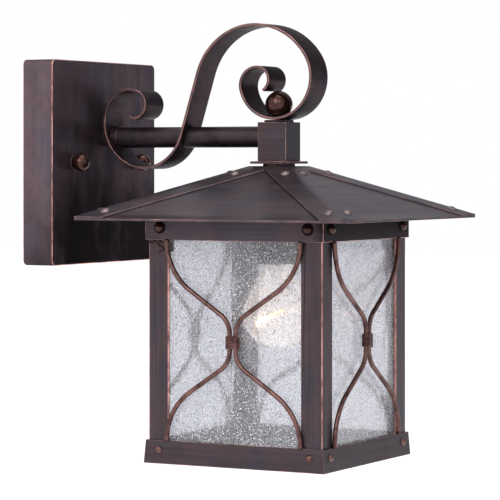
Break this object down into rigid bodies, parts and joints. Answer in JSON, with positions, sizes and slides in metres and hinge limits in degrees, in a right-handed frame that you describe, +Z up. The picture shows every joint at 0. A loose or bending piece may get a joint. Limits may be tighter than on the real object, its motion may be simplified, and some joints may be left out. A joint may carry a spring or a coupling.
{
  "type": "outdoor wall lantern",
  "caption": "Square outdoor wall lantern: back plate, straight arm with scroll strip, pyramid roof with hip straps, seeded glass cage with bowed wires, clear bulb inside.",
  "frame": {"origin": "centre of the box strap on the wall plane, which is also the centre of the back plate seen from the front", "axes": "+Z up, +Y into the wall, -Y out from the wall along the arm, X across the wall; the wall is the plane y = 0"},
  "size_m": [0.2032, 0.2641, 0.297],
  "materials": {
    "bronze": "burnished bronze paint, brushed, with copper rubbed through at the edges",
    "rubbed_copper": "bronze paint rubbed back to copper",
    "dark_gloss": "dark brown gloss",
    "zinc_steel": "zinc plated",
    "brass": "plain brass",
    "green_screw": "green dyed steel",
    "seeded_glass": "clear seeded glass with fine bubbles and ripples",
    "bulb_glass": "clear lamp glass",
    "bulb_base": "rolled aluminium screw shell",
    "filament": "glowing tungsten",
    "socket_plastic": "moulded phenolic",
    "wire_insulation": "smooth insulation"
  },
  "bodies": {
    "lantern": {"back_plate": "bronze", "box_strap": "zinc_steel", "stud_bar": "zinc_steel", "studs": "zinc_steel", "stud_lock_nuts": "zinc_steel", "ground_screw": "green_screw", "arm_tube": "bronze", "arm_collar": "bronze", "arm_spacer": "bronze", "arm_nipple": "brass", "arm_lock_nut": "zinc_steel", "arm_lock_washer": "zinc_steel", "scroll_strip": "bronze", "scroll_seat": "bronze", "hub_block": "bronze", "hub_flange": "bronze", "roof_neck": "bronze", "finial_stud": "zinc_steel", "stem_nipple": "brass", "stem_lock_nut": "zinc_steel", "stem_washer": "zinc_steel", "roof_shell": "bronze", "hip_strap_1": "bronze", "hip_strap_2": "bronze", "hip_strap_3": "bronze", "hip_strap_4": "bronze", "strap_rivets": "rubbed_copper", "top_rail": "bronze", "top_rail_screws": "dark_gloss", "post_1": "bronze", "post_2": "bronze", "post_3": "bronze", "post_4": "bronze", "bottom_rail": "bronze", "bottom_rail_rivets": "rubbed_copper", "glass_front": "seeded_glass", "glass_right": "seeded_glass", "glass_back": "seeded_glass", "glass_left": "seeded_glass", "glass_clips": "zinc_steel", "side_wires_front": "rubbed_copper", "side_wires_right": "rubbed_copper", "side_wires_back": "rubbed_copper", "side_wires_left": "rubbed_copper", "wire_wraps": "rubbed_copper", "socket_cap": "zinc_steel", "socket_body": "socket_plastic", "screw_shell": "brass", "lead_wires": "wire_insulation"},
    "nut_washer_left_body": {"nut_washer_left": "bronze"},
    "ball_nut_left_body": {"ball_nut_left": "dark_gloss"},
    "nut_washer_right_body": {"nut_washer_right": "bronze"},
    "ball_nut_right_body": {"ball_nut_right": "dark_gloss"},
    "finial_ring_body": {"finial_ring": "dark_gloss"},
    "finial_ball_body": {"finial_ball": "dark_gloss"},
    "bulb_contact_body": {"bulb_contact": "brass"},
    "bulb_body": {"bulb_base": "bulb_base", "bulb_glass": "bulb_glass", "bulb_stem": "bulb_glass", "bulb_filament": "filament"}
  },
  "joints": [
    {"name": "nut_left_travel", "type": "slide", "parent": "lantern", "child": "nut_washer_left_body", "axis": [0, -1, 0], "range_m": [0, 0.0081]},
    {"name": "nut_left_turn", "type": "hinge", "parent": "nut_washer_left_body", "child": "ball_nut_left_body", "pos_m": [-0.042, -0.032, 0], "axis": [0, -1, 0], "range_deg": [0, 3600]},
    {"name": "nut_right_travel", "type": "slide", "parent": "lantern", "child": "nut_washer_right_body", "axis": [0, -1, 0], "range_m": [0, 0.0081]},
    {"name": "nut_right_turn", "type": "hinge", "parent": "nut_washer_right_body", "child": "ball_nut_right_body", "pos_m": [0.042, -0.032, 0], "axis": [0, -1, 0], "range_deg": [0, 3600]},
    {"name": "finial_travel", "type": "slide", "parent": "lantern", "child": "finial_ring_body", "axis": [0, 0, 1], "range_m": [0, 0.001]},
    {"name": "finial_turn", "type": "hinge", "parent": "finial_ring_body", "child": "finial_ball_body", "pos_m": [0, -0.1625, 0.0395], "axis": [0, 0, 1], "range_deg": [0, 361]},
    {"name": "bulb_travel", "type": "slide", "parent": "lantern", "child": "bulb_contact_body", "axis": [0, 0, -1], "range_m": [0, 0.022]},
    {"name": "bulb_turn", "type": "hinge", "parent": "bulb_contact_body", "child": "bulb_body", "pos_m": [0, -0.1625, -0.06], "axis": [0, 0, -1], "range_deg": [0, 2160]}
  ],
  "couplings": [
    {"joint": "nut_left_travel", "follows": "nut_left_turn", "m_per_rad": 0.00012732},
    {"joint": "nut_right_travel", "follows": "nut_right_turn", "m_per_rad": 0.00012732},
    {"joint": "finial_turn", "follows": "finial_travel", "rad_per_m": 6283.2},
    {"joint": "bulb_travel", "follows": "bulb_turn", "m_per_rad": 0.00057757}
  ]
}
